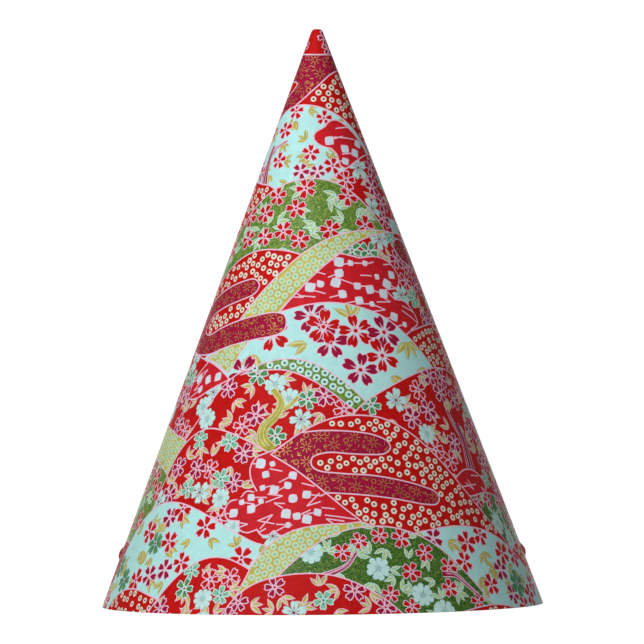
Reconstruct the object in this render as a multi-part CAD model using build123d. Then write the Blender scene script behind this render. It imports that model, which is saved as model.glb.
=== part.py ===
from build123d import *

import os
from math import atan, cos, degrees, radians, sin

# Conical party hat: a cone rolled from stiff card, covered with a printed sheet, closed by a taped lap
# at the back. Millimetres. +Z is up, the hat stands on its brim at Z = 0, and its axis is the Z axis.
# The wearer's front is -Y, so the lap is centred on +Y.

# Overall size
BRIM_RADIUS = 65.0  # outside the print, at the brim
APEX_HEIGHT = 173.4  # where the straight sides would meet
HEIGHT = 168.8  # the tip is rolled blunt, a little short of that point

# Sheets, with each thickness measured square to the sheet
CARD_THICKNESS = 0.40
PRINT_THICKNESS = 0.12
TAPE_THICKNESS = 0.10

# Lap: the rolled sheet starts under it, runs once round the cone and climbs over its own start
LAP_MIDDLE = 90.0  # azimuth of the back of the hat
LAP_ANGLE = 12.0
RAMP_ANGLE = 25.0
RAMP_GAP_ANGLE = 0.4  # between the top of the ramp and the edge that the lap covers
TAPE_EDGE_ANGLE = 1.5  # how far the tape stays inside the lap, on each side
TAPE_END_MARGIN = 4.0  # how far the tape stays short of the brim and of the tip

# Anchors of the chin elastic, one on each side, between the card and the print
ANCHOR_HEIGHT = 15.7
CORD_HOLE_RADIUS = 1.0
BEAD_RADIUS = 1.4
BEAD_THICKNESS = 0.48
BEAD_ROUNDING = 0.35
BEAD_HOLE_RADIUS = 0.5
BULGE_RADIUS = 2.05
BULGE_HEIGHT = 0.85
DRILL_LENGTH = 4.0  # longer than any wall that it goes through

# Derived
HALF_ANGLE = degrees(atan(BRIM_RADIUS / APEX_HEIGHT))
LEVEL_FACTOR = 1 / cos(radians(HALF_ANGLE))  # a sheet's level thickness over its square thickness
CARD = CARD_THICKNESS * LEVEL_FACTOR
PRINT = PRINT_THICKNESS * LEVEL_FACTOR
TAPE = TAPE_THICKNESS * LEVEL_FACTOR
LAP_STEP = CARD + PRINT + TAPE
COVERED_EDGE = LAP_MIDDLE - LAP_ANGLE / 2
FREE_EDGE = LAP_MIDDLE + LAP_ANGLE / 2
FROM_BELOW = (Align.CENTER, Align.CENTER, Align.MIN)


def print_radius(height):
    """Radius of the print's outer face at a height, away from the lap."""
    return BRIM_RADIUS * (1 - height / APEX_HEIGHT)


def polar(radius, azimuth, height):
    """A point of the level section at a height."""
    angle = radians(azimuth)
    return Vector(radius * cos(angle), radius * sin(angle), height)


def arc(height, radius_a, azimuth_a, radius_b, azimuth_b):
    """An arc about the axis, at a height. Its radius may grow or shrink a little on the way."""
    start = polar(radius_a, azimuth_a, height)
    middle = polar((radius_a + radius_b) / 2, (azimuth_a + azimuth_b) / 2, height)
    return ThreePointArc(start, middle, polar(radius_b, azimuth_b, height))


def rolled_section(height, low, high):
    """Level section of the rolled sheet between two radii, which grow by LAP_STEP up the ramp."""
    ramp_top = COVERED_EDGE + 360 - RAMP_GAP_ANGLE
    ramp_foot = ramp_top - RAMP_ANGLE
    end = FREE_EDGE + 360
    lap_low = low + LAP_STEP
    lap_high = high + LAP_STEP
    outline = [
        arc(height, high, COVERED_EDGE, high, ramp_foot),
        arc(height, high, ramp_foot, lap_high, ramp_top),
        arc(height, lap_high, ramp_top, lap_high, end),
        Line(polar(lap_high, end, height), polar(lap_low, end, height)),
        arc(height, lap_low, end, lap_low, ramp_top),
        arc(height, lap_low, ramp_top, low, ramp_foot),
        arc(height, low, ramp_foot, low, COVERED_EDGE),
        Line(polar(low, COVERED_EDGE, height), polar(high, COVERED_EDGE, height)),
    ]
    return make_face(outline)


def rolled_sheet(deep, shallow):
    """The sheet between two level depths under the print's face, rolled from the brim to the tip."""
    sections = []
    for height in (0, HEIGHT):
        face_radius = print_radius(height)
        sections.append(rolled_section(height, face_radius - deep, face_radius - shallow))
    return loft(sections, ruled=True)


def make_tape():
    """The tape that holds the lap, between the print of the covered edge and the card over it."""
    start = COVERED_EDGE + TAPE_EDGE_ANGLE
    end = FREE_EDGE - TAPE_EDGE_ANGLE
    sections = []
    for height in (TAPE_END_MARGIN, HEIGHT - TAPE_END_MARGIN):
        low = print_radius(height)
        high = low + TAPE
        outline = [
            arc(height, high, start, high, end),
            Line(polar(high, end, height), polar(low, end, height)),
            arc(height, low, end, low, start),
            Line(polar(low, start, height), polar(high, start, height)),
        ]
        sections.append(make_face(outline))
    return loft(sections, ruled=True)


def card_core():
    """Everything inside the card's outer face, as one solid cone."""
    steepness = APEX_HEIGHT / BRIM_RADIUS
    base = BRIM_RADIUS - PRINT
    return Cone(base, 0, base * steepness, align=FROM_BELOW)


def anchor_plane(side):
    """Plane on the card's outer face at one side (+1 or -1), with its Z axis square to the card."""
    tilt = radians(HALF_ANGLE)
    centre = Vector(side * (print_radius(ANCHOR_HEIGHT) - PRINT), 0, ANCHOR_HEIGHT)
    normal = Vector(side * cos(tilt), 0, sin(tilt))
    return Plane(origin=centre, x_dir=Vector(0, 1, 0), z_dir=normal)


def bead_blank(side):
    """The outer shape of a bead, with a rounded top edge, lying on the card's outer face."""
    blank = Cylinder(BEAD_RADIUS, BEAD_THICKNESS, align=FROM_BELOW)
    blank = fillet(blank.edges().group_by(Axis.Z)[-1], BEAD_ROUNDING)
    return anchor_plane(side) * blank - card_core()


def make_bead(side):
    """Flat bead that ends the chin elastic, over the card's hole."""
    return bead_blank(side) - anchor_plane(side) * Cylinder(BEAD_HOLE_RADIUS, DRILL_LENGTH)


def make_bulge(side):
    """The print's low dome over a bead: the cap of a ball, cut to the card's outer face."""
    ball_radius = (BULGE_RADIUS**2 + BULGE_HEIGHT**2) / (2 * BULGE_HEIGHT)
    ball = Pos(0, 0, BULGE_HEIGHT - ball_radius) * Sphere(ball_radius)
    return anchor_plane(side) * ball - card_core()


def make_card():
    """The stiff card cone, with a hole on each side for the chin elastic."""
    card = rolled_sheet(CARD + PRINT, PRINT)
    for side in (-1, 1):
        card -= anchor_plane(side) * Cylinder(CORD_HOLE_RADIUS, DRILL_LENGTH)
    return card


def make_print():
    """The printed sheet pasted over the card, domed over the two beads."""
    cover = rolled_sheet(PRINT, 0)
    for side in (-1, 1):
        cover += make_bulge(side)
        cover -= bead_blank(side)
    return cover


nodes = {
    "card_cone": make_card(),
    "print_cover": make_print(),
    "seam_tape": make_tape(),
    "left_elastic_bead": make_bead(-1),
    "right_elastic_bead": make_bead(1),
}

os.makedirs("parts", exist_ok=True)
for name, shape in nodes.items():
    export_step(shape, f"parts/{name}.step")
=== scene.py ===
import bpy
import math
import random
import numpy as np
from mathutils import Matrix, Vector
from mathutils.geometry import delaunay_2d_cdt


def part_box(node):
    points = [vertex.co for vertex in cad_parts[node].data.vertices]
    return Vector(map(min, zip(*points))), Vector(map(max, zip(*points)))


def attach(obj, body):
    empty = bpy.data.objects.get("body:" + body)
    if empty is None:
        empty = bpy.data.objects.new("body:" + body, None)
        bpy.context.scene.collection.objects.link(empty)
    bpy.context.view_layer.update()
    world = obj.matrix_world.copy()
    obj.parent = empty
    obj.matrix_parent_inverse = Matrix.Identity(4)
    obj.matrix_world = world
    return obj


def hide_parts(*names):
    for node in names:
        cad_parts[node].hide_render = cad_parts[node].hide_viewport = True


# A card party hat covered with a printed sheet of overlapping hills, in the manner of traditional papers.
# The print is drawn flat, in millimetres, as it is before the sheet is rolled: the origin is the point of
# the cone, -Y runs down the middle of the front, and X is to the right as seen from the front. The sheet
# is one mesh, cut along every outline of the print, and then that mesh is rolled into the cone.

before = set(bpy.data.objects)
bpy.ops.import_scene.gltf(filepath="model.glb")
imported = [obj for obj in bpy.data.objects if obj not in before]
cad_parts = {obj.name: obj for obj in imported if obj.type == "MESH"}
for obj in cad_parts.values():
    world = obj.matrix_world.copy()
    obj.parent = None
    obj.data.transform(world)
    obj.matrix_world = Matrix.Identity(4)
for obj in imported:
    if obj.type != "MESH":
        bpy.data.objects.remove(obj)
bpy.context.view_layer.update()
MM = 0.001

# ---------------------------------------------------------------- measures, in millimetres, from the frame

cover = [v.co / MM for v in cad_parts["print_cover"].data.vertices]
HEIGHT = max(p.z for p in cover)
BRIM_RADIUS = max(math.hypot(p.x, p.y) for p in cover if p.y < 0)
TIP_RADIUS = max(math.hypot(p.x, p.y) for p in cover if p.y < 0 and p.z > HEIGHT - 0.01)
LAP_STEP = max(math.hypot(p.x, p.y) for p in cover) - BRIM_RADIUS
APEX_HEIGHT = HEIGHT * BRIM_RADIUS / (BRIM_RADIUS - TIP_RADIUS)
SLANT = math.hypot(BRIM_RADIUS, APEX_HEIGHT)
SINE = BRIM_RADIUS / SLANT
COSINE = APEX_HEIGHT / SLANT
TIP_DISTANCE = TIP_RADIUS / SINE

# The lap at the back, as angles round the hat from the middle of the front
LAP_END = math.radians(186)
RAMP_TOP = math.radians(173.6)
RAMP = math.radians(25)  # how long the sheet takes to climb on to its own start

# The printed sheet, which is pressed over the end of the card at the tip
THICKNESS = 0.118  # a hair less than in the CAD, so that its back clears the card
CURL_RADIUS = 1.3
CURL = math.radians(90)
SHEET_TOP = TIP_DISTANCE - CURL_RADIUS * CURL
HALF_SPREAD = LAP_END * SINE  # half the angle of the flat sheet

# The domes over the two beads
bead_low, bead_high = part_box("right_elastic_bead")
DOME_DISTANCE = (APEX_HEIGHT - (bead_low.z + bead_high.z) / 2 / MM) / COSINE
DOME_RADIUS = 2.05
DOME_HEIGHT = 0.74


def lap_rise(turn):
    """How far the sheet stands out from the cone, to climb over its own start."""
    return LAP_STEP * np.clip((turn - RAMP_TOP + RAMP) / RAMP, 0, 1)


def dome_rise(turn, distance):
    """How far the sheet domes out over the beads."""
    rise = np.zeros_like(distance)
    for side in (-1, 1):
        across = (turn - side * math.pi / 2) * distance * SINE
        away = np.hypot(across, distance - DOME_DISTANCE) / DOME_RADIUS
        rise += DOME_HEIGHT * np.clip(1 - away**2, 0, 1) ** 0.8
    return rise


def on_hat(x, y, depth=0.0):
    """Where points of the flat sheet come to lie on the hat, at a depth under the sheet's face."""
    distance = np.hypot(x, y)
    turn = np.arctan2(x, -y) / SINE
    slant = np.maximum(distance, TIP_DISTANCE)
    roll = np.maximum(TIP_DISTANCE - distance, 0) / CURL_RADIUS
    rise = dome_rise(turn, distance) - CURL_RADIUS
    out_radius = COSINE * np.cos(roll) - SINE * np.sin(roll)
    out_height = SINE * np.cos(roll) + COSINE * np.sin(roll)
    radius = slant * SINE + lap_rise(turn) + rise * COSINE + (CURL_RADIUS - depth) * out_radius
    height = APEX_HEIGHT - slant * COSINE + rise * SINE + (CURL_RADIUS - depth) * out_height
    return np.stack([radius * np.sin(turn), -radius * np.cos(turn), height], axis=-1) * MM


# ---------------------------------------------------------------- flat outlines


def smooth(points, step=1.5):
    """An open curve through the points (a centripetal Catmull-Rom spline), in steps of about a length."""
    points = [np.array(p, float) for p in points]
    before = 2 * points[0] - points[1]
    after = 2 * points[-1] - points[-2]
    points = [before] + points + [after]
    curve = []
    for a, b, c, d in zip(points, points[1:], points[2:], points[3:]):
        gap_ab, gap_bc, gap_cd = (max(math.dist(p, q) ** 0.5, 0.01) for p, q in ((a, b), (b, c), (c, d)))
        tangent_b = (b - a) / gap_ab - (c - a) / (gap_ab + gap_bc) + (c - b) / gap_bc
        tangent_c = (c - b) / gap_bc - (d - b) / (gap_bc + gap_cd) + (d - c) / gap_cd
        tangent_b *= gap_bc
        tangent_c *= gap_bc
        count = max(1, round(math.dist(b, c) / step))
        for i in range(count):
            t = i / count
            bend = (2 * t**3 - 3 * t**2 + 1) * b + (t**3 - 2 * t**2 + t) * tangent_b
            bend = bend + (3 * t**2 - 2 * t**3) * c + (t**3 - t**2) * tangent_c
            curve.append(tuple(bend))
    curve.append(tuple(points[-2]))
    return curve


def area(outline):
    """Area inside an outline, positive if it runs anticlockwise."""
    pairs = zip(outline, outline[1:] + outline[:1])
    return sum(a[0] * b[1] - b[0] * a[1] for a, b in pairs) / 2


def anticlockwise(outline):
    """The same outline, running anticlockwise."""
    return outline if area(outline) > 0 else outline[::-1]


def inset(outline, width):
    """The outline moved inwards by a width, or outwards if the width is negative."""
    outline = anticlockwise(outline)
    moved = []
    for a, b, c in zip(outline[-1:] + outline[:-1], outline, outline[1:] + outline[:1]):
        ahead = math.atan2(c[1] - b[1], c[0] - b[0])
        behind = math.atan2(b[1] - a[1], b[0] - a[0])
        bend = (ahead - behind + math.pi) % (2 * math.pi) - math.pi
        middle = behind + bend / 2 + math.pi / 2
        reach = width / max(math.cos(bend / 2), 0.5)  # a sharp corner moves by no more than two widths
        moved.append((b[0] + reach * math.cos(middle), b[1] + reach * math.sin(middle)))
    return moved


NEAR_ENOUGH = 0.93  # share of the width that an inset point must be away from the old outline


def inset_area(outline, width):
    """The same for a large outline. Points that end up too near the old outline are left out."""
    outline = anticlockwise(outline)
    starts = np.array(outline)
    along = np.roll(starts, -1, axis=0) - starts
    kept = []
    for point in inset(outline, width):
        share = np.sum((point - starts) * along, axis=1) / np.maximum(np.sum(along * along, axis=1), 1e-9)
        nearest = starts + along * np.clip(share, 0, 1)[:, None]
        if np.hypot(*(nearest - point).T).min() > width * NEAR_ENOUGH:
            kept.append(point)
    return kept


def placed(outline, x, y, turn=0.0, size=1.0):
    """An outline scaled, turned and moved."""
    c = size * math.cos(turn)
    s = size * math.sin(turn)
    return [(x + c * u - s * v, y + s * u + c * v) for u, v in outline]


def disc(x, y, radius, count):
    """A regular polygon that stands for a round dot."""
    angles = [2 * math.pi * i / count for i in range(count)]
    return [(x + radius * math.cos(a), y + radius * math.sin(a)) for a in angles]


def stroke(points, width, end_width):
    """A line with a width that changes evenly from one end to the other."""
    left = []
    right = []
    for i, (x, y) in enumerate(points):
        before = points[max(i - 1, 0)]
        after = points[min(i + 1, len(points) - 1)]
        angle = math.atan2(after[1] - before[1], after[0] - before[0]) + math.pi / 2
        half = (width + (end_width - width) * i / (len(points) - 1)) / 2
        left.append((x + half * math.cos(angle), y + half * math.sin(angle)))
        right.append((x - half * math.cos(angle), y - half * math.sin(angle)))
    return left + right[::-1]


# ---------------------------------------------------------------- the print: grounds

# A ground is an area of one colour, painted over the grounds before it. One that has a parent shows only
# where it lies on its parent. A mark shows only where it lies on its own ground. Grounds are known by
# their place in the list, and None is the bare red sheet.
grounds = []  # outline, ink, parent
marks = []  # outline, ink, ground
fills = []  # ground, pattern
garlands = []  # ground, and how far its repeat of the print is moved

BORDER = 0.42
FLANK = [(13, 25), (22, 70)]  # how far the flanks of a hill go out and down beyond the ends of its crest
FOOT = (24, 260)

# The kinds of ground: ink and pattern
KINDS = {
    "red_rings": ("red", "red_rings"),
    "gold_rings": ("gold_band", "gold_rings"),
    "green_rings": ("green", "green_rings"),
    "red_flowers": ("red", "red_flowers"),
    "green_flowers": ("green", "green_flowers"),
    "green_mixed": ("deep_green", "green_mixed"),
    "cyan_flowers": ("cyan", "cyan_flowers"),
    "cyan_tree": ("cyan", "cyan_tree"),
    "cyan": ("cyan", "none"),
    "mist": ("mist", "mist"),
    "crimson": ("crimson", "crimson"),
    "red": ("red", "none"),
}


def add_ground(outline, ink, parent):
    """Paint one area, and give its number."""
    grounds.append((anticlockwise(outline), ink, parent))
    return len(grounds) - 1


def add_mark(outline, ink, ground):
    """Draw one small shape on a ground."""
    marks.append((anticlockwise(outline), ink, ground))


def bordered(outline, kind, parent=None):
    """A ground with a pale line round it, and the kind of pattern that fills it."""
    ink, pattern = KINDS[kind]
    edge = add_ground(outline, "line", parent)
    ground = add_ground(inset_area(outline, BORDER), ink, None if parent is None else edge)
    fills.append((ground, pattern))
    return ground


def hill(crest, kind):
    """A ground that lies below a crest, with flanks that fall away at both ends."""
    (x0, y0), (x1, y1) = crest[0], crest[-1]
    left = [(x0 - out, y0 - down) for out, down in reversed(FLANK)]
    right = [(x1 + out, y1 - down) for out, down in FLANK]
    out, down = FOOT
    outline = [(x0 - out, y0 - down)] + smooth(left + crest + right) + [(x1 + out, y1 - down)]
    return bordered(outline, kind)


def island(stretches, kind, parent=None):
    """A closed ground. Its outline is smooth along each stretch, and has a corner where two meet."""
    outline = []
    for stretch in stretches:
        outline += smooth(stretch, 1.2)
    return bordered(outline, kind, parent)


def bough(ground, points, width, end_width, ink, line_ink):
    """A trunk, a branch or a ribbon that lies on a ground, with grain along it."""
    points = smooth(points, 1.6)
    edge = add_ground(stroke(points, width + 0.6, end_width + 0.6), line_ink, ground)
    wood = add_ground(stroke(points, width, end_width), ink, edge)
    for side in (-0.22, 0.12):
        grain = [(x + side * width, y + 0.1 * width) for x, y in points[1:-1]]
        add_mark(stroke(grain, width * 0.09 + 0.1, 0.1), line_ink, wood)


# In the next three functions, at() moves points to where the repeat is. Each hill covers the feet of the
# hills that come before it, so the order is from the tip to the brim.


def paint_upper_third(at):
    """The grounds of one repeat of the print, next to the tip."""
    crest = [(-14, -1), (-9.6, -5.2), (-5.4, -9.2), (0, -10.7), (5.4, -9.4), (9.6, -5.8), (14, -2)]
    hill(at(crest), "crimson")
    island([at([(-15.5, -19), (-11, -16.4), (-6.5, -19), (-11, -21.6), (-15.4, -19.4)])], "red")
    hill(at([(-9, -27.5), (-4, -24), (0, -20.6), (4, -16.5), (9, -13.5), (20, -13), (46, -20)]), "red_rings")
    crest = [(-40, -48), (-30, -37), (-20, -29.5), (-12, -26.6), (-7, -26), (0, -27.2), (8, -30.2)]
    tree = hill(at(crest + [(14, -33.5), (20, -38), (30, -48)]), "cyan_tree")
    bough(tree, at([(-19, -50), (-18.5, -44), (-17, -39), (-15.5, -36.5)]), 3.0, 1.0, "crimson", "line")
    bough(tree, at([(-17.2, -40), (-14, -37.8), (-9.5, -36.8)]), 0.8, 0.3, "crimson", "line")
    crest = [(-60, -34), (-45, -36), (-36, -39), (-28, -42.5), (-20, -47.3), (-14, -51)]
    hill(at(crest), "red_rings")
    island([
        at([(1.7, -33.7), (3.2, -31.7), (5.4, -30.9), (8.1, -31.7), (12, -33.8), (16.5, -37.3), (20.5, -42)]),
        at([(14, -48), (6.5, -46)]),
        at([(6.5, -46), (5.9, -44.2), (5.3, -42.2), (3.8, -40.7)]),
        at([(3.8, -40.7), (0.9, -40), (-1.3, -38), (-1.3, -35.8), (0.1, -34.6), (1.7, -33.7)]),
    ], "mist")
    hill(at([(2, -51.5), (9, -45.5), (15, -40.3), (22, -36.3), (32, -33), (50, -31)]), "red_flowers")
    crest = [(-48, -76), (-40, -66), (-30, -58.5), (-20, -53.5), (-12, -50.8), (-4, -49.7), (3, -50.4)]
    hill(at(crest + [(10, -53.2), (18, -58.8), (24, -64.5), (30, -72)]), "green_flowers")
    crest = [(-62, -86), (-50, -77.5), (-42, -73.5), (-34, -71.2), (-27, -69.8), (-20, -69.5), (-12, -71)]
    hill(at(crest + [(-5, -73.5), (4, -79)]), "red_rings")
    band = [(24, -62.2), (12, -65.2), (4, -68), (-4, -72.5), (-11, -77.8), (-18, -83.5), (-26, -90.5)]
    island([at(band), at([(-26, -100), (30, -100)])], "gold_rings")


def paint_middle_third(at):
    """The grounds half-way down. Gives the hill that has the large blossoms."""
    crest = [(-13, -91.5), (-6, -84.2), (0, -78.2), (6, -72.8), (14, -67.2), (22, -63.3), (30, -60.5)]
    hill(at(crest + [(45, -57), (60, -56)]), "red_flowers")
    finger = [(60, -66), (46, -64), (36, -62.5), (28, -63), (25, -66.5), (29, -70), (36, -70.2), (45, -72)]
    island([at(finger + [(60, -74)])], "crimson")
    island([
        at([(-13, -91.5), (-6, -84.2), (0, -78.2), (6, -73)]),
        at([(12, -73.8), (18, -72.3), (23, -73), (26.5, -76.5), (25.5, -80.5), (21, -82.5)]),
        at([(24, -84.5), (28, -84), (32, -86.5), (33.5, -89.5), (30, -93)]),
        at([(34, -100), (-13, -100)]),
    ], "mist")
    hill(at([(27, -95.5), (34, -90.5), (42, -86), (52, -81.5), (66, -77)]), "red_rings")
    crest = [(-52, -108), (-44, -99.5), (-30, -93.5), (-10, -90.3), (-3, -89), (4, -88.5), (12, -89.3)]
    middle = hill(at(crest + [(20, -91.3), (28, -95.2), (34, -99), (40, -104), (46, -112)]), "cyan")
    island([at([(-40, -98), (-22, -98), (-25, -101.5), (-29, -106.5), (-33, -103)])], "gold_rings")
    crest = [(-75, -84), (-60, -87.5), (-50, -92), (-42, -97), (-35, -102.5), (-28, -109), (-22, -116)]
    hill(at(crest), "red_flowers")
    puffs = [(-28, -108.8), (-37, -110), (-43, -110.5), (-48, -108), (-46, -103)]
    island([at([(-38, -99.5), (-33, -103.5), (-28, -108.8)]), at(puffs)], "mist")
    upper = [(-70, -84), (-52, -77.8), (-45, -77.5), (-35, -77.6), (-25, -77.9), (-20, -78.6), (-18.3, -81)]
    upper += [(-20, -83.5), (-25, -84.2), (-35, -84), (-40, -84.3), (-43.5, -87), (-40, -90)]
    lower = [(-33, -90.3), (-20, -90.3), (-13, -90.5), (-10.2, -91.8), (-9.6, -94.3), (-10.4, -96.8)]
    lower += [(-13, -98), (-20, -98.2), (-30, -98), (-38, -97.6), (-45, -95), (-52, -90.5), (-60, -86)]
    island([at(upper + lower)], "crimson")
    crest = [(-52, -126), (-45, -121.5), (-38, -115.5), (-32, -110.8), (-26, -107.6), (-20, -106.5)]
    tree = hill(at(crest + [(-12, -106), (0, -112), (8, -119), (14, -126)]), "red_flowers")
    trunk = at([(-14.5, -133.5), (-17.3, -129.5), (-16.8, -126), (-13.5, -123), (-11.5, -119), (-14, -114.5)])
    bough(tree, trunk, 3.4, 1.2, "branch", "leaf_pale")
    bough(tree, at([(-12.5, -121.5), (-9, -120), (-6.5, -117.5)]), 1.2, 0.6, "branch", "leaf_pale")
    band = [(-25, -108.3), (-18, -106), (-10, -105.3), (-3, -106.8), (3, -110), (9, -114.5), (15, -120)]
    under = [(12, -123), (8, -120.5), (3, -116.5), (-3, -112.5), (-10, -109.3), (-17, -108.3)]
    island([at(band), at(under)], "green_rings")
    crest = [(10, -121.8), (14, -117.8), (22, -112), (30, -106.8), (38, -102.5), (46, -100), (56, -99)]
    tree = hill(at(crest + [(70, -101)]), "red_flowers")
    bough(tree, at([(53, -138), (51.5, -130), (50, -123), (47, -118)]), 4.5, 2.0, "crimson", "line")
    bough(tree, at([(49.5, -122), (45.5, -118.5), (43, -115)]), 1.8, 0.8, "crimson", "line")
    return middle


def paint_lower_third(at):
    """The grounds next to the brim."""
    hill(at([(-85, -99), (-72, -105), (-62, -111), (-52, -118.5), (-44, -125)]), "gold_rings")
    hill(at([(-95, -104), (-80, -112), (-68, -119), (-58, -127), (-52, -134)]), "green_flowers")
    island([at([(-98, -147), (-86, -140), (-74, -147), (-86, -154), (-97.5, -148)])], "crimson")
    crest = [(-64, -144), (-60, -139.5), (-55, -132.5), (-50, -126.5), (-45, -123.3), (-40, -122)]
    hill(at(crest + [(-35, -122.3), (-29, -124.8), (-22, -129), (-15, -134), (-8, -140)]), "red_flowers")
    island([at([(43, -137), (48, -132.5), (54, -131), (59, -133), (58, -138), (50, -142)])], "mist")
    hill(at([(46, -143), (52, -139.5), (58, -136.5), (66, -134.5), (76, -135), (88, -140)]), "green_mixed")
    hill(at([(70, -151), (78, -144), (86, -139), (96, -135)]), "red_rings")
    crest = [(-95, -166), (-84, -154), (-76, -146.5), (-68, -142.3), (-60, -140.3), (-53, -140.7)]
    crest += [(-46, -143), (-39, -147), (-32, -152), (-26, -156.5), (-20, -160.5), (-14, -163.5)]
    hill(at(crest), "cyan_flowers")
    island([
        at([(-8, -131.5), (-15.7, -133.6), (-19.5, -134.8), (-21.3, -138), (-20.8, -142), (-19, -145.6)]),
        at([(-19, -145.6), (-22.2, -144.6), (-24.5, -146.8)]),
        at([(-24.5, -146.8), (-27.6, -146.9), (-29.3, -149.2), (-28.5, -152.6), (-24.8, -153.8)]),
        at([(-24.8, -153.8), (-24.6, -156.4), (-22, -157.8), (-19.1, -157.2)]),
        at([(-19.1, -157.2), (-17.8, -159), (-15.6, -159.2), (-13.9, -158.1)]),
        at([(-13.9, -158.1), (-12.3, -159.6), (-10, -159.7), (-8.5, -158.5)]),
        at([(-5, -164), (10, -164), (26, -158)]),
    ], "mist")
    crest = [(-15, -134.5), (-10, -131), (-5, -127.8), (0, -125.3), (6, -123.4), (12, -122.8)]
    crest += [(18, -123), (24, -124.8), (30, -127.6), (38, -132.6), (46, -138.4), (54, -143.5)]
    crest += [(62, -147.5), (72, -151.5)]
    side = [(13, -160), (13, -157.5), (6, -151.5), (0, -146.3), (-8, -139.5)]
    rings = island([at(crest), at([(72, -170), (13, -170)]), at(side)], "red_rings")
    upper = [(-30, -129), (-6, -128.3), (0, -127.9), (10, -128), (16, -128.6), (20, -130.2), (20.8, -132.2)]
    upper += [(19, -134.2), (14, -135.1), (8, -135.2), (2, -135), (-2.4, -136.4), (-2.6, -138.6)]
    upper += [(-1, -140), (6, -140.9), (15, -141)]
    lower = [(25, -141.6), (31, -142.2), (35.3, -143), (36.8, -144.8), (35.8, -147), (32, -148)]
    lower += [(20, -147.8), (10, -147.5), (2, -147.3), (-30, -146)]
    island([at(upper + lower)], "crimson", rings)
    crest = [(26, -158.5), (33, -155.3), (42, -152.2), (52, -150.3), (62, -150), (75, -152), (90, -156)]
    hill(at(crest), "cyan_flowers")
    crest = [(-95, -176), (-86, -166), (-78, -162.8), (-72, -162.5), (-65, -164.5), (-58, -168.5)]
    crest += [(-52, -173)]
    hill(at(crest), "red_rings")
    crest = [(-58, -176), (-53, -171.3), (-47, -167), (-41, -164.2), (-35, -163), (-29, -164), (-23, -167.3)]
    hill(at(crest + [(-18, -171.5), (-12, -178)]), "red_flowers")
    crest = [(-22, -170), (-20, -166.5), (-15, -161.5), (-9, -158.3), (-2, -156.8), (6, -156.2), (14, -156.2)]
    hill(at(crest), "gold_rings")
    crest = [(-18, -177), (-12, -170.7), (-6, -165.4), (0, -161.2), (6, -158.4), (13, -156.7), (20, -156.3)]
    crest += [(28, -157.4), (36, -160.4), (44, -165.4), (51, -170.5), (58, -176)]
    green = hill(at(crest), "green_mixed")
    ribbon = at([(-1, -172.5), (4, -170.8), (7.5, -168.6), (9.8, -165)])
    bough(green, ribbon, 1.5, 0.5, "crimson", "line")
    ribbon = at([(36.5, -168.5), (41, -168), (45, -170), (50, -172.8)])
    bough(green, ribbon, 1.4, 0.5, "crimson", "line")
    crest = [(-32, -184), (-29, -180), (-25, -176), (-20, -173.2), (-13, -171.6), (-6, -171.1), (2, -171.6)]
    hill(at(crest + [(9, -173.6), (16, -177), (22, -181), (26, -185)]), "red_flowers")
    hill(at([(34, -184), (42, -179.4), (50, -175.6), (58, -172.8), (66, -171.5), (74, -171)]), "red_rings")


def paint_unit(dx, dy):
    """All the grounds of one repeat of the print, moved by (dx, dy)."""

    def at(points):
        return [(x + dx, y + dy) for x, y in points]

    paint_upper_third(at)
    middle = paint_middle_third(at)
    garlands.append((middle, dx, dy))
    paint_lower_third(at)


# ---------------------------------------------------------------- which ground shows where

# A grid of cells over the flat sheet, in which the marks look for room
CELL = 0.5
COLUMNS = 680
ROWS = 372
GRID_X = (np.arange(COLUMNS) - COLUMNS / 2 + 0.5) * CELL
GRID_Y = -(np.arange(ROWS) + 0.5) * CELL


def column_of(x):
    """The column of the grid that a point lies in."""
    return int((x - GRID_X[0]) / CELL + 0.5)


def row_of(y):
    """The row of the grid that a point lies in."""
    return int((GRID_Y[0] - y) / CELL + 0.5)


def covers(outline):
    """Which cells of the grid lie inside an outline."""
    crossings = np.zeros((ROWS, COLUMNS + 1), int)
    for (xa, ya), (xb, yb) in zip(outline, outline[1:] + outline[:1]):
        rows = np.nonzero((GRID_Y < ya) != (GRID_Y < yb))[0]
        if len(rows):
            x = xa + (GRID_Y[rows] - ya) * (xb - xa) / (yb - ya)
            columns = np.clip(np.ceil((x - GRID_X[0]) / CELL), 0, COLUMNS).astype(int)
            np.add.at(crossings, (rows, columns), 1)
    return np.cumsum(crossings, axis=1)[:, :COLUMNS] % 2 == 1


def show_map():
    """For each cell of the grid, the ground that shows there."""
    shown = np.full((ROWS, COLUMNS), -1)
    for number, (outline, ink, parent) in enumerate(grounds):
        inside = covers(outline)
        if parent is not None:
            inside &= shown == parent
        shown[inside] = number
    return shown


def room(ground, reach):
    """Cells of a ground with that ground all round them, out to a reach."""
    mine = shown == ground
    free = mine.copy()
    for i in range(8):
        across = round(reach * math.cos(i * math.pi / 4) / CELL)
        down = round(reach * math.sin(i * math.pi / 4) / CELL)
        free &= np.roll(mine, (down, across), axis=(0, 1))
    return free


def scatter(ground, reach, choose, taken=(), clumps=(), clump_radius=0.0):
    """Things at random places on a ground, which keep clear of the places taken and stay in the clumps.

    choose() gives a thing and how far it keeps the next one away.
    """
    rows, columns = np.nonzero(room(ground, reach))
    places = np.stack([GRID_X[columns], GRID_Y[rows]], axis=1)
    for x, y, gap in taken:
        places = places[np.hypot(places[:, 0] - x, places[:, 1] - y) > gap]
    if clumps:
        away = [np.hypot(places[:, 0] - x, places[:, 1] - y) for x, y, turn in clumps]
        places = places[np.min(away, axis=0) < clump_radius]
    order = list(range(len(places)))
    rng.shuffle(order)
    places = places[order]
    things = []
    while len(places):
        x, y = places[0]
        thing, gap = choose()
        things.append((x, y, thing))
        places = places[np.hypot(places[:, 0] - x, places[:, 1] - y) > gap]
    return things


# ---------------------------------------------------------------- the print: marks


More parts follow.
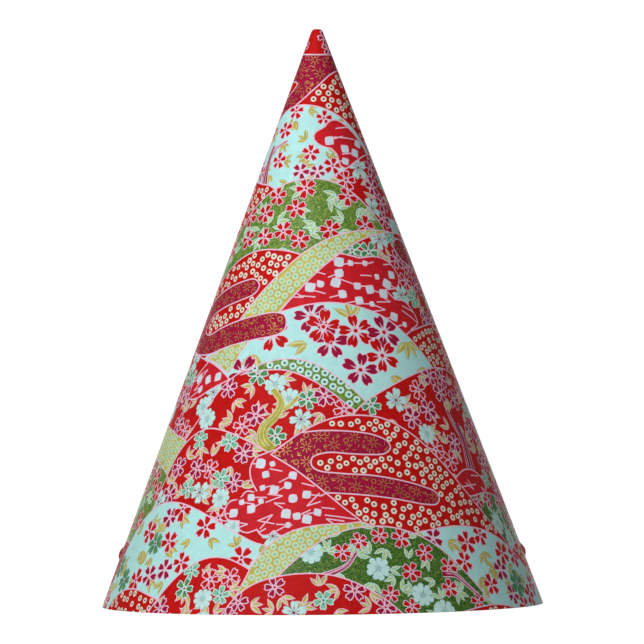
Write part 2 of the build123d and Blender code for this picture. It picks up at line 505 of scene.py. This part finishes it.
def add_ring(ground, x, y, size, heart, ink, heart_ink):
    """One tie-dyed ring: a pale dot with a dark heart."""
    add_mark(disc(x, y, size / 2, 9), ink, ground)
    add_mark(disc(x, y, heart / 2, 6), heart_ink, ground)


def loose_rings(ground, gap, size, heart, ink, heart_ink):
    """Tie-dyed rings strewn at random."""
    for x, y, ring in scatter(ground, size / 2 + 0.1, lambda: (None, gap)):
        add_ring(ground, x, y, size * rng.uniform(0.93, 1.07), heart, ink, heart_ink)


def ring_rows(ground, spacing, slope, size, heart, ink, heart_ink):
    """Tie-dyed rings in close rows at a slope, none quite in line."""
    free = shown == ground
    rows, columns = np.nonzero(free)
    if not len(rows):
        return
    middle_x, middle_y = GRID_X[columns].mean(), GRID_Y[rows].mean()
    reach = int(math.hypot(np.ptp(columns), np.ptp(rows)) * CELL / 2 / spacing) + 2
    for j in range(-reach, reach + 1):
        for i in range(-reach, reach + 1):
            along = (i + j % 2 / 2) * spacing + rng.uniform(-0.12, 0.12)
            across = j * spacing * 0.88 + rng.uniform(-0.12, 0.12)
            x = middle_x + along * math.cos(slope) - across * math.sin(slope)
            y = middle_y + along * math.sin(slope) + across * math.cos(slope)
            row, column = row_of(y), column_of(x)
            if 0 <= row < ROWS and 0 <= column < COLUMNS and free[row, column]:
                add_ring(ground, x, y, size, heart, ink, heart_ink)


def mirrored(half):
    """A closed outline from the half of it that lies on one side of the X axis."""
    return half + [(x, -y) for x, y in reversed(half[1:-1])]


# Petals and leaves lie along the X axis, from their root to their tip at about 1
LONG_PETAL = mirrored([(0.16, 0), (0.3, 0.17), (0.56, 0.31), (0.82, 0.31), (1.02, 0.18), (0.89, 0)])
PETAL = mirrored([(0.1, 0), (0.22, 0.16), (0.46, 0.29), (0.8, 0.34), (1.02, 0.2), (0.92, 0)])
SLIM_PETAL = mirrored([(0.1, 0), (0.5, 0.22), (0.84, 0.26), (1.0, 0.08), (0.96, 0)])
LEAF = mirrored([(0.06, 0), (0.3, 0.15), (0.62, 0.16), (1, 0)])
HALF_LEAF = [(0.18, 0.01), (0.88, 0.0), (0.6, 0.1), (0.32, 0.09)]

# Styles of blossom: petal, number of petals, petal ink, line ink, width of the line, ink of the heart,
# ink of the streaks
BIG_RED = (LONG_PETAL, 5, "red", "line", 0.24, "red", "line")
BIG_CRIMSON = (LONG_PETAL, 5, "crimson", "line", 0.24, "red", "line")
SMALL_RED = (PETAL, 5, "red", "line", 0.26, "crimson", None)
SMALL_CRIMSON = (PETAL, 5, "crimson", "line", 0.26, "line", None)
PINK = (PETAL, 5, "crimson", "line", 0.34, "red", None)
ROSE = (PETAL, 5, "red", "line", 0.34, "crimson", None)
GREEN = (PETAL, 5, "leaf_green", "pale", 0.3, "red", "dark_green")
GREEN_ON_CYAN = (PETAL, 6, "leaf_green", "pale_line", 0.2, "red", "dark_green")
MINT = (PETAL, 5, "mint", "pale", 0.28, "teal", "teal")
WHITE = (PETAL, 5, "pale", "pale_line", 0.16, "crimson", "crimson")
DAHLIA = (SLIM_PETAL, 9, "pale", "pale_line", 0.12, "pale_line", None)


def streak(length, width):
    """A thin mark along the middle of a petal."""
    return [(0.24, width), (0.24 + length, 0), (0.24, -width)]


def blossom(ground, x, y, radius, style):
    """One flower seen from above."""
    petal, count, petal_ink, line_ink, line, heart_ink, streak_ink = style
    start = rng.uniform(0, 2 * math.pi)
    turns = [start + 2 * math.pi * i / count + rng.uniform(-0.08, 0.08) for i in range(count)]
    petals = [placed(petal, x, y, turn, radius * rng.uniform(0.92, 1.04)) for turn in turns]
    for outline in petals:
        add_mark(outline, line_ink, ground)
    for outline in petals:
        add_mark(inset(outline, min(line, radius * 0.1)), petal_ink, ground)
    if streak_ink:
        for turn in turns:
            add_mark(placed(streak(0.36, 0.045), x, y, turn, radius), streak_ink, ground)
    add_mark(disc(x, y, radius * 0.2, 7), line_ink, ground)
    add_mark(disc(x, y, radius * 0.12, 6), heart_ink, ground)


FAN_ANGLE = 0.72  # between two leaves of a spray


def spray(ground, x, y, turn, count, length, leaf_inks):
    """Leaves that fan out from one place."""
    line_ink, ink, light_ink = leaf_inks
    for i in range(count):
        aim = turn + (i - (count - 1) / 2) * FAN_ANGLE + rng.uniform(-0.12, 0.12)
        size = length * rng.uniform(0.85, 1.1)
        outline = placed(LEAF, x, y, aim, size)
        add_mark(outline, line_ink, ground)
        add_mark(inset(outline, 0.24), ink, ground)
        add_mark(placed(HALF_LEAF, x, y, aim, size), light_ink, ground)


# Leaf inks: edge, body, light half
LEAF_ON_RED = ("line", "leaf_pale", "ochre")
LEAF_ON_CYAN = ("ochre", "leaf_pale", "ochre")
LEAF_ON_GREEN = ("pale", "soft_green", "leaf_pale")

# Blossoms with their radii
CYAN_BLOSSOMS = [
    (SMALL_RED, 3.7), (SMALL_CRIMSON, 3.6), (SMALL_RED, 4.0), (SMALL_RED, 3.8), (GREEN_ON_CYAN, 4.2),
]
TREE_BLOSSOMS = [(SMALL_RED, 2.9), (SMALL_CRIMSON, 2.8), (SMALL_RED, 2.9)]
GREEN_BLOSSOMS = [(SMALL_RED, 3.5), (SMALL_RED, 3.3)]
MIXED_BLOSSOMS = [(SMALL_RED, 3.1), (DAHLIA, 3.6), (SMALL_RED, 3.0)]
RED_BLOSSOMS = [
    (PINK, 3.5), (MINT, 3.2), (ROSE, 3.4), (GREEN, 3.4), (PINK, 3.4), (WHITE, 3.7), (DAHLIA, 3.4),
]

# Blossoms, gap between two of them in diameters, leaf inks, leaf length, gap between the middles of two
# clumps of blossoms, radius of a clump
GARDENS = {
    "cyan_flowers": (CYAN_BLOSSOMS, 0.84, LEAF_ON_CYAN, 4.4, 10.0, 4.2),
    "cyan_tree": (TREE_BLOSSOMS, 0.8, LEAF_ON_CYAN, 3.4, 8.0, 3.4),
    "green_flowers": (GREEN_BLOSSOMS, 0.95, LEAF_ON_GREEN, 4.4, 8.5, 4.2),
    "green_mixed": (MIXED_BLOSSOMS, 0.9, LEAF_ON_GREEN, 4.4, 8.5, 4.2),
    "red_flowers": (RED_BLOSSOMS, 0.78, LEAF_ON_RED, 4.5, 9.2, 4.5),
}


def plant(ground, garden):
    """Clumps of blossoms, with leaves that point away from each clump."""
    blossoms, spacing, leaf_inks, leaf_length, clump_gap, clump_radius = GARDENS[garden]

    def choose():
        style, radius = rng.choice(blossoms)
        radius *= rng.uniform(0.92, 1.05)
        return (style, radius), radius * 2 * spacing * rng.choice([0.95, 1.0, 1.15])

    clumps = scatter(ground, 0.5, lambda: (rng.uniform(0, 2 * math.pi), clump_gap))
    for x, y, turn in clumps:
        for i in range(3):
            aim = turn + i * 2.1 + rng.uniform(-0.4, 0.4)
            base_x = x + clump_radius * math.cos(aim)
            base_y = y + clump_radius * math.sin(aim)
            spray(ground, base_x, base_y, aim, rng.choice([2, 3, 3]), leaf_length, leaf_inks)
    places = scatter(ground, 1.0, choose, clumps=clumps, clump_radius=clump_radius)
    for x, y, (style, radius) in places:
        blossom(ground, x, y, radius, style)


# The large blossoms of the middle hill (x, y, style), and the leaves round them (x, y, direction, count)
GARLAND = [
    (-2.5, -93, BIG_CRIMSON), (3, -101, BIG_CRIMSON), (1, -96.2, BIG_RED), (10.5, -97, BIG_RED),
    (19.5, -96.2, BIG_CRIMSON), (18.7, -103.7, BIG_RED), (11.8, -109, BIG_CRIMSON), (-14.2, -97.5, BIG_RED),
    (-24, -107.5, BIG_CRIMSON),
]
GARLAND_LEAVES = [
    (9.5, -93, 1.9, 3), (-3.5, -101, 3.6, 2), (-19.8, -102.4, -1.9, 3), (27.5, -97.2, -1.2, 4),
    (21, -109.6, -0.5, 2), (34, -103.5, -1.5, 3),
]
GARLAND_LEAF_LENGTH = 6.0
GARLAND_BLOSSOM_RADIUS = 5.6


def plant_garland(ground, dx, dy):
    """The large blossoms of one middle hill, with leaves round them."""
    for x, y, turn, count in GARLAND_LEAVES:
        spray(ground, x + dx, y + dy, turn, count, GARLAND_LEAF_LENGTH, LEAF_ON_CYAN)
    for x, y, style in GARLAND:
        blossom(ground, x + dx, y + dy, GARLAND_BLOSSOM_RADIUS, style)


def bar(ground, x, y, turn, length, width, ink):
    """A thin straight mark that starts at a point."""
    half = width / 2
    add_mark(placed([(0, -half), (length, -half), (length, half), (0, half)], x, y, turn), ink, ground)


SCRAP_SHARE = 0.6  # of the places in the mist that have a scrap
DRIFT_GAP = 3.1
BAR_WIDTH = 0.38


def scrap(ground, x, y):
    """A torn square of paper, none quite like another."""
    size = rng.choice([0.9, 1.15, 1.3, 1.4, 1.55])
    radii = [1.2, 0.97] * 4
    square = [(r * math.cos(i * math.pi / 4), r * math.sin(i * math.pi / 4)) for i, r in enumerate(radii)]
    torn = [(u * rng.uniform(0.9, 1.1), v * rng.uniform(0.9, 1.1)) for u, v in square]
    outline = placed(torn, x, y, rng.uniform(0.5, 1.1), size)
    add_mark(outline, "line", ground)
    add_mark(inset(outline, 0.2), "scrap", ground)


def drift(ground):
    """Scraps of torn paper and thin slanting lines, as on a misty ground."""
    for x, y, has_scrap in scatter(ground, 1.3, lambda: (rng.random() < SCRAP_SHARE, DRIFT_GAP)):
        slant = rng.choice([0.12, 0.3, 0.42, -0.12, -0.28]) + rng.choice([0, math.pi])
        for i in range(rng.choice([0, 1, 1]) if has_scrap else rng.choice([1, 2])):
            turn = slant + i * rng.choice([-0.5, 0.5, math.pi])
            bar(ground, x, y, turn, rng.uniform(3.0, 5.6), BAR_WIDTH, "line")
        if has_scrap:
            scrap(ground, x, y)


# Stitches, the largest first: kind, radius, and distance from the next of its kind
STITCHES = [("flower", 1.75, 4.3), ("ring", 0.8, 5.5), ("sprig", 0.8, 2.6), ("stitch", 0.5, 1.3)]


def embroider(ground):
    """Small gold flowers, rings, sprigs and stitches, which do not touch each other."""
    taken = []
    for stitch, radius, gap in STITCHES:
        nearby = [(x, y, other + radius + 0.1) for x, y, other in taken]
        for x, y, aim in scatter(ground, radius * 0.7, lambda: (rng.uniform(0, 2 * math.pi), gap), nearby):
            taken.append((x, y, radius))
            if stitch == "flower":
                for i in range(8):
                    turn = aim + i * math.pi / 4
                    root_x = x + 0.5 * math.cos(turn)
                    root_y = y + 0.5 * math.sin(turn)
                    bar(ground, root_x, root_y, turn, 1.3, 0.2, "gold")
            elif stitch == "ring":
                add_mark(disc(x, y, 0.8, 9), "gold", ground)
                add_mark(disc(x, y, 0.6, 9), "crimson", ground)
            elif stitch == "sprig":
                for i in (-1, 0, 1):
                    bar(ground, x, y, aim + i * 0.8, 1.1, 0.19, "gold")
            else:
                bar(ground, x, y, aim, 1.0, 0.19, "gold")


def fill_ground(ground, pattern):
    """Draw the pattern of one ground."""
    if pattern == "red_rings":
        loose_rings(ground, 2.1, 1.86, 0.68, "cream", "maroon")
    elif pattern == "gold_rings":
        ring_rows(ground, 2.4, 0.72, 2.15, 0.9, "pale_green", "soft_green")
    elif pattern == "green_rings":
        ring_rows(ground, 2.65, -0.5, 2.25, 0.85, "pale", "teal")
    elif pattern == "mist":
        drift(ground)
    elif pattern == "crimson":
        embroider(ground)
    elif pattern in GARDENS:
        plant(ground, pattern)


# ---------------------------------------------------------------- the sheet

FACET_ERROR = 0.03  # how far a flat facet may lie inside the curve that it stands for
SMALLEST_PATCH = 0.02  # area of a ground's visible part
FIRST_ROW = 1.5  # how far the first row of inner points lies above the brim
CURL_STEP = 0.1
MOST_IN_ROW = 36
DOME_RINGS = 9


def flat(distance, angle):
    """Flat coordinates of a point at a distance from the cone's point and an angle from the middle."""
    return distance * math.sin(angle), -distance * math.cos(angle)


def sheet_outline():
    """The sheet as it is cut: a sector of a ring. Its sides have points close together over the curl."""
    brim = [flat(SLANT, HALF_SPREAD * (2 * i / 150 - 1)) for i in range(151)]
    tip = [flat(SHEET_TOP, HALF_SPREAD * (1 - 2 * i / 36)) for i in range(37)]
    sides = [SLANT + (TIP_DISTANCE - SLANT) * i / 40 for i in range(1, 41)]
    sides += [TIP_DISTANCE + (SHEET_TOP - TIP_DISTANCE) * i / 12 for i in range(1, 12)]
    right = [flat(distance, HALF_SPREAD) for distance in sides]
    left = [flat(distance, -HALF_SPREAD) for distance in reversed(sides)]
    return anticlockwise(brim + right + tip + left)


def bend_step(distance):
    """How long an edge round the hat may be, at a distance from the cone's point, to keep to FACET_ERROR."""
    return math.sqrt(8 * FACET_ERROR * distance * SINE)


def divided(outline):
    """The outline with its long edges divided, so that the sheet can bend along them."""
    points = []
    for (xa, ya), (xb, yb) in zip(outline, outline[1:] + outline[:1]):
        step = bend_step(math.hypot(xa + xb, ya + yb) / 2)
        count = max(1, math.ceil(math.hypot(xb - xa, yb - ya) / step))
        points += [(xa + (xb - xa) * i / count, ya + (yb - ya) * i / count) for i in range(count)]
    return points


def curve_points():
    """Points inside the sheet that let it bend: closer together where the hat curves more."""
    points = []
    distance = SLANT - FIRST_ROW
    row = 0
    while distance > SHEET_TOP + CURL_STEP / 2:
        step = bend_step(distance) if distance > TIP_DISTANCE else CURL_STEP
        length = 2 * HALF_SPREAD * distance
        count = math.ceil(length / max(step, length / MOST_IN_ROW))
        for i in range(1, count):
            shifted = i + row % 2 / 2  # every other row is moved by half a step
            points.append(flat(distance, HALF_SPREAD * (2 * shifted / (count + 0.5) - 1)))
        points += [flat(distance, turn * SINE) for turn in (RAMP_TOP - RAMP, RAMP_TOP)]
        distance -= step
        row += 1
    for side in (-1, 1):
        x, y = flat(DOME_DISTANCE, side * math.pi / 2 * SINE)
        for ring in range(1, DOME_RINGS + 1):
            points += disc(x, y, DOME_RADIUS * ring / DOME_RINGS, 20)
    return points


def triangulate(outlines, points=()):
    """Triangles cut along all the outlines: corner positions, triangles, and the outlines over each one.

    Outline 0 is the edge of the sheet, and only the triangles inside it are kept.
    """
    corners = []
    faces = []
    for outline in outlines:
        faces.append(list(range(len(corners), len(corners) + len(outline))))
        corners += outline
    corners += points
    result = delaunay_2d_cdt([Vector(p) for p in corners], [], faces, 1, 1e-5, True)
    kept = [(t, over) for t, over in zip(result[2], result[5]) if 0 in over]
    return [tuple(v) for v in result[0]], [t for t, over in kept], [over for t, over in kept]


def rim_loops(triangles):
    """The outer edges of a patch of triangles, each in order, and none that touches itself."""
    sides = {side for a, b, c in triangles for side in ((a, b), (b, c), (c, a))}
    following = {}
    for start, end in sides:
        if (end, start) not in sides:
            following.setdefault(start, []).append(end)
    loops = []
    while following:
        path = [next(iter(following))]
        places = {path[0]: 0}
        while path[-1] in following:
            ends = following[path[-1]]
            corner = ends.pop()
            if not ends:
                del following[path[-1]]
            if corner in places:
                cut = places[corner]
                loops.append(path[cut:])
                for passed in path[cut + 1:]:
                    del places[passed]
                path = path[:cut + 1]
            else:
                places[corner] = len(path)
                path.append(corner)
    return loops


def top_ground(over):
    """The ground that shows, out of the outlines that cover a triangle."""
    top = None
    for number in sorted(over)[1:]:
        parent = grounds[number - 1][2]
        if parent is None or parent == top:
            top = number - 1
    return top


def visible_patches():
    """The parts of the grounds that show: outlines with their ground, the largest first."""
    corners, triangles, over = triangulate([sheet_outline()] + [g[0] for g in grounds])
    by_ground = {}
    for triangle, numbers in zip(triangles, over):
        by_ground.setdefault(top_ground(numbers), []).append(triangle)
    patches = []
    for ground, members in by_ground.items():
        for loop in rim_loops(members):
            outline = [corners[i] for i in loop]
            if area(outline) > SMALLEST_PATCH:
                patches.append((outline, ground))
    return sorted(patches, key=lambda patch: -area(patch[0]))


def ink_of(over, patches):
    """The ink of a triangle, from the patches and marks that cover it."""
    numbers = sorted(over)[1:]
    ground = None
    ink = "red"
    for number in numbers:
        if number <= len(patches):
            ground = patches[number - 1][1]
            ink = grounds[ground][1] if ground is not None else "red"
        else:
            mark = marks[number - 1 - len(patches)]
            ink = mark[1] if mark[2] == ground else ink
    return ink


def link_mesh(name, points, polygons):
    """A new object in the scene, with its mesh."""
    mesh = bpy.data.meshes.new(name)
    mesh.from_pydata(points, [], polygons)
    piece = bpy.data.objects.new(name, mesh)
    bpy.context.collection.objects.link(piece)
    return piece


def wall_polygons(rim, offset):
    """The cut edge of the sheet, between the rim of its face and the rim of its back."""
    walls = []
    for i, a in enumerate(rim):
        after = (i + 1) % len(rim)
        walls.append((rim[after], a, offset + i, offset + after))
    return walls


def colour_mesh(mesh, inks):
    """Give the first polygons of a mesh their inks, and all the others bare paper."""
    names = list(INKS)
    for name in names:
        mesh.materials.append(INKS[name])
    slots = [names.index(ink) for ink in inks]
    slots += [names.index("paper")] * (len(mesh.polygons) - len(slots))
    mesh.polygons.foreach_set("material_index", slots)


def make_sheet():
    """The printed sheet: its face cut into inks, its back, and the cut edge between the two."""
    patches = visible_patches()
    outlines = [sheet_outline()] + [p[0] for p in patches] + [m[0] for m in marks]
    face, face_triangles, over = triangulate([divided(o) for o in outlines], curve_points())
    inks = [ink_of(numbers, patches) for numbers in over]
    rim = max(rim_loops(face_triangles), key=len)
    back, back_triangles, over = triangulate([[face[i] for i in rim]], curve_points())
    offset = len(face)
    walls = wall_polygons(rim, offset)
    polygons = face_triangles + walls + [tuple(offset + i for i in reversed(t)) for t in back_triangles]
    used = sorted({i for polygon in polygons for i in polygon})  # outlines also have corners off the sheet
    renumber = {old: new for new, old in enumerate(used)}
    polygons = [tuple(renumber[i] for i in polygon) for polygon in polygons]
    flat_points = np.array(face + back)[used]
    depths = np.repeat([0.0, THICKNESS], [len(face), len(back)])[used]
    points = on_hat(flat_points[:, 0], flat_points[:, 1], depths)
    piece = link_mesh("printed_sheet", points.tolist(), polygons)
    colour_mesh(piece.data, inks)
    wall_range = range(len(face_triangles), len(face_triangles) + len(walls))
    set_normals(piece.data, flat_points, wall_range, depths == 0)
    return piece


def face_normals(flat_points):
    """The direction that the sheet's face points in, at flat points."""
    x, y = flat_points[:, 0], flat_points[:, 1]
    small = 0.01
    along_x = on_hat(x + small, y) - on_hat(x - small, y)
    along_y = on_hat(x, y + small) - on_hat(x, y - small)
    normals = np.cross(along_x, along_y)
    return normals / np.linalg.norm(normals, axis=1)[:, None]


def set_normals(mesh, flat_points, wall_range, on_face):
    """Smooth shading that follows the true cone, with crisp cut edges."""
    mesh.polygons.foreach_set("use_smooth", [True] * len(mesh.polygons))
    normals = face_normals(flat_points)
    corners = np.zeros(len(mesh.loops), int)
    mesh.loops.foreach_get("vertex_index", corners)
    loop_normals = normals[corners]
    loop_normals[~on_face[corners]] *= -1
    for number in wall_range:
        polygon = mesh.polygons[number]
        loop_normals[polygon.loop_start:polygon.loop_start + 4] = polygon.normal
    mesh.normals_split_custom_set(loop_normals.tolist())


# ---------------------------------------------------------------- materials


def linear(colour):
    """Linear red, green, blue and alpha from a colour given in 0 to 255 as a screen shows it."""
    values = [c / 255 for c in colour]
    values = [c / 12.92 if c <= 0.04045 else ((c + 0.055) / 1.055) ** 2.4 for c in values]
    return (*values, 1.0)


def new_material(name):
    """A new material, its node tree and its shader."""
    material = bpy.data.materials.new(name)
    material.use_nodes = True
    tree = material.node_tree
    return material, tree, tree.nodes["Principled BSDF"]


def set_inputs(node, values):
    """Set inputs of a node, by name."""
    for name, value in values.items():
        node.inputs[name].default_value = value


def noise(tree, scale, detail, roughness, distortion=0.0):
    """A noise texture in the object's own space, with a scale in cycles for each metre."""
    place = tree.nodes.new("ShaderNodeTexCoord")
    node = tree.nodes.new("ShaderNodeTexNoise")
    set_inputs(node, {"Scale": scale, "Detail": detail, "Roughness": roughness, "Distortion": distortion})
    tree.links.new(place.outputs["Object"], node.inputs["Vector"])
    return node.outputs["Fac"]


def spread(tree, value, low, high, from_low=0.3, from_high=0.7):
    """The value stretched to run from low to high."""
    node = tree.nodes.new("ShaderNodeMapRange")
    set_inputs(node, {"From Min": from_low, "From Max": from_high, "To Min": low, "To Max": high})
    tree.links.new(value, node.inputs["Value"])
    return node.outputs["Result"]


def ramp(tree, value, stops):
    """A colour ramp with (position, linear colour) stops."""
    node = tree.nodes.new("ShaderNodeValToRGB")
    elements = node.color_ramp.elements
    elements[0].position, elements[0].color = stops[0]
    elements[1].position, elements[1].color = stops[-1]
    for position, colour in stops[1:-1]:
        elements.new(position).color = colour
    tree.links.new(value, node.inputs["Fac"])
    return node.outputs["Color"]


def bump(tree, shader, height, strength, distance):
    """Small relief on a shader, from a value."""
    node = tree.nodes.new("ShaderNodeBump")
    set_inputs(node, {"Strength": strength, "Distance": distance})
    tree.links.new(height, node.inputs["Height"])
    tree.links.new(node.outputs["Normal"], shader.inputs["Normal"])


def shade(colour, factor):
    """A colour made darker or lighter."""
    return [min(c * factor, 255) for c in colour]


def ink_material(name, colour, change=0.07, roughness=0.6, metallic=0.0, specular=0.1):
    """Ink printed on fibrous paper: mottled a little, and lying over the fibres."""
    material, tree, shader = new_material(name)
    mottle = noise(tree, 420, 5.0, 0.7, 0.4)
    low = linear(shade(colour, 1 - change))
    high = linear(shade(colour, 1 + change))
    tree.links.new(ramp(tree, mottle, [(0.32, low), (0.68, high)]), shader.inputs["Base Color"])
    fibres = noise(tree, 1500, 3.0, 0.65, 1.2)
    tree.links.new(spread(tree, fibres, roughness - 0.1, roughness + 0.1), shader.inputs["Roughness"])
    bump(tree, shader, fibres, 0.25, 0.00006)
    set_inputs(shader, {"Metallic": metallic, "Specular IOR Level": specular})
    return material


def glitter_material(name, colours):
    """Green ink full of gold specks, from a dark, a middle, a light and a gold colour."""
    material, tree, shader = new_material(name)
    specks = noise(tree, 1900, 2.0, 0.8, 1.2)
    stops = list(zip((0.38, 0.5, 0.57, 0.66), map(linear, colours)))
    tree.links.new(ramp(tree, specks, stops), shader.inputs["Base Color"])
    tree.links.new(spread(tree, specks, 0.6, 0.35), shader.inputs["Roughness"])
    bump(tree, shader, specks, 0.3, 0.00006)
    shader.inputs["Specular IOR Level"].default_value = 0.2
    return material


def two_tone_material(name, grain, colours, roughness, relief):
    """A material whose grain changes its colour, its gloss and its surface a little."""
    material, tree, shader = new_material(name)
    value = noise(tree, *grain)
    stops = [(0.3, linear(colours[0])), (0.7, linear(colours[1]))]
    tree.links.new(ramp(tree, value, stops), shader.inputs["Base Color"])
    tree.links.new(spread(tree, value, *roughness), shader.inputs["Roughness"])
    bump(tree, shader, value, *relief)
    return material


def paper_material():
    """The white fibres of the sheet, at its cut edge and on its back."""
    colours = [(214, 200, 196), (240, 232, 226)]
    return two_tone_material("paper", (1800, 4.0, 0.7, 1.5), colours, (0.8, 0.95), (0.4, 0.00005))


def card_material():
    """Uncoated white board."""
    colours = [(205, 200, 190), (232, 228, 220)]
    return two_tone_material("card", (900, 5.0, 0.7, 0.8), colours, (0.75, 0.92), (0.3, 0.00008))


def tape_material():
    """Clear sticky tape, slightly yellow."""
    colours = [(222, 214, 186), (236, 230, 206)]
    return two_tone_material("tape", (300, 2.0, 0.5, 0.5), colours, (0.15, 0.3), (0.2, 0.00005))


def bead_material():
    """White moulded plastic."""
    colours = [(226, 224, 218), (238, 236, 232)]
    return two_tone_material("bead", (2500, 3.0, 0.6), colours, (0.4, 0.52), (0.15, 0.00003))


GREENS = [(60, 102, 34), (100, 144, 52), (126, 162, 66), (204, 208, 112)]
DEEP_GREENS = [(32, 76, 20), (64, 112, 38), (90, 136, 50), (160, 176, 84)]

INKS = {
    "red": ink_material("red", (204, 16, 14)),
    "mist": ink_material("mist", (214, 30, 42)),
    "crimson": ink_material("crimson", (166, 16, 62)),
    "gold": ink_material("gold", (190, 146, 70), 0.15, 0.45, 0.25, 0.4),
    "cyan": ink_material("cyan", (192, 247, 244), 0.03),
    "green": glitter_material("green", GREENS),
    "deep_green": glitter_material("deep_green", DEEP_GREENS),
    "gold_band": ink_material("gold_band", (202, 192, 88), 0.09, 0.5),
    "mint": ink_material("mint", (138, 204, 170), 0.08),
    "line": ink_material("line", (247, 206, 229), 0.04),
    "cream": ink_material("cream", (242, 232, 214), 0.04),
    "maroon": ink_material("maroon", (60, 6, 10), 0.1),
    "pale": ink_material("pale", (206, 245, 240), 0.04),
    "pale_green": ink_material("pale_green", (206, 234, 200), 0.04),
    "soft_green": ink_material("soft_green", (164, 206, 150), 0.06),
    "pale_line": ink_material("pale_line", (170, 215, 218), 0.04),
    "scrap": ink_material("scrap", (222, 238, 248), 0.04),
    "teal": ink_material("teal", (44, 110, 84), 0.1),
    "ochre": ink_material("ochre", (196, 172, 74), 0.1),
    "leaf_pale": ink_material("leaf_pale", (216, 222, 160), 0.05),
    "leaf_green": ink_material("leaf_green", (96, 152, 98), 0.08),
    "branch": ink_material("branch", (188, 178, 72), 0.1),
    "dark_green": ink_material("dark_green", (30, 92, 52), 0.1),
    "paper": paper_material(),
}


def dress_node(name, material):
    """Give a CAD node a better material."""
    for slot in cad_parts[name].material_slots:
        slot.material = material


# ---------------------------------------------------------------- studio


def make_studio():
    """A pale floor, soft light from the front left, and white all round."""
    material, tree, shader = new_material("studio_floor")
    set_inputs(shader, {"Base Color": (0.2, 0.2, 0.2, 1), "Roughness": 0.9, "Specular IOR Level": 0})
    set_inputs(shader, {"Emission Color": (1, 1, 1, 1), "Emission Strength": 0.98})
    corners = [(x, y, -0.0001) for x, y in disc(0, 0, 12.0, 64)]
    floor = link_mesh("studio_floor", corners, [tuple(range(len(corners)))])
    floor.data.materials.append(material)
    floor.visible_diffuse = False  # so that it does not light the hat from below
    world = bpy.data.worlds.new("studio")
    bpy.context.scene.world = world
    world.use_nodes = True
    tree = world.node_tree
    background = tree.nodes["Background"]
    background.inputs["Color"].default_value = (1, 1, 1, 1)
    seen = tree.nodes.new("ShaderNodeLightPath")
    strength = spread(tree, seen.outputs["Is Camera Ray"], 0.19, 1.05, 0, 1)
    tree.links.new(strength, background.inputs["Strength"])
    add_sun("back", 180, 12, 1.3, 40)
    add_key()


def aim_lamp(lamp, towards):
    """Put a lamp in the scene, shining on the hat from a given direction."""
    placed_lamp = bpy.data.objects.new(lamp.name, lamp)
    placed_lamp.rotation_euler = towards.to_track_quat("Z", "Y").to_euler()
    bpy.context.collection.objects.link(placed_lamp)
    return placed_lamp


def add_sun(name, azimuth, elevation, strength, size):
    """A far lamp. Azimuth is measured from the front, to the right."""
    lamp = bpy.data.lights.new(name, "SUN")
    lamp.energy = strength
    lamp.angle = math.radians(size)
    a = math.radians(azimuth)
    e = math.radians(elevation)
    aim_lamp(lamp, Vector((math.sin(a) * math.cos(e), -math.cos(a) * math.cos(e), math.sin(e))))


def add_key():
    """A soft box near the hat, to the front left and above, so that the tip is brighter than the brim."""
    lamp = bpy.data.lights.new("key", "AREA")
    lamp.energy = 3.1
    lamp.size = 0.35
    place = Vector((-0.27, -0.5, 0.42))
    aim_lamp(lamp, place - Vector((0, 0, 0.08))).location = place


def make_camera():
    """A long lens a little above the middle of the hat, held very slightly crooked as for the photograph."""
    data = bpy.data.cameras.new("camera")
    data.lens = 385
    data.sensor_width = 36
    data.clip_end = 50
    camera = bpy.data.objects.new("camera", data)
    camera.location = (0.0007, -2.03, 0.092)
    camera.rotation_euler = (math.radians(89.755), math.radians(0.56), 0)
    bpy.context.collection.objects.link(camera)
    bpy.context.scene.camera = camera


# ---------------------------------------------------------------- build

TIP_BLOSSOMS = [(2.6, -6.3, 2.6), (3.6, -9.6, 2.4), (-4.3, -8.4, 1.8)]

rng = random.Random(7)
# Two hills fill the gaps that the repeats leave near the tip, at the back
hill([(-72, -30), (-60, -16), (-46, -9), (-32, -8), (-20, -12)], "cyan_flowers")
hill([(14, -8), (24, -6), (36, -10)], "crimson")
paint_unit(105, 24)
paint_unit(-112, 11)
paint_unit(0, -1.3)
shown = show_map()
for ground, pattern in fills:
    fill_ground(ground, pattern)
for garland in garlands:
    plant_garland(*garland)
for x, y, radius in TIP_BLOSSOMS:
    blossom(None, x, y, radius, PINK)  # on no ground: they lie on the bare red of the sheet
sheet = make_sheet()
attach(sheet, "root")
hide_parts("print_cover")
dress_node("card_cone", card_material())
dress_node("seam_tape", tape_material())
dress_node("left_elastic_bead", bead_material())
dress_node("right_elastic_bead", bead_material())
make_studio()
make_camera()
bpy.context.scene.view_settings.view_transform = "Standard"
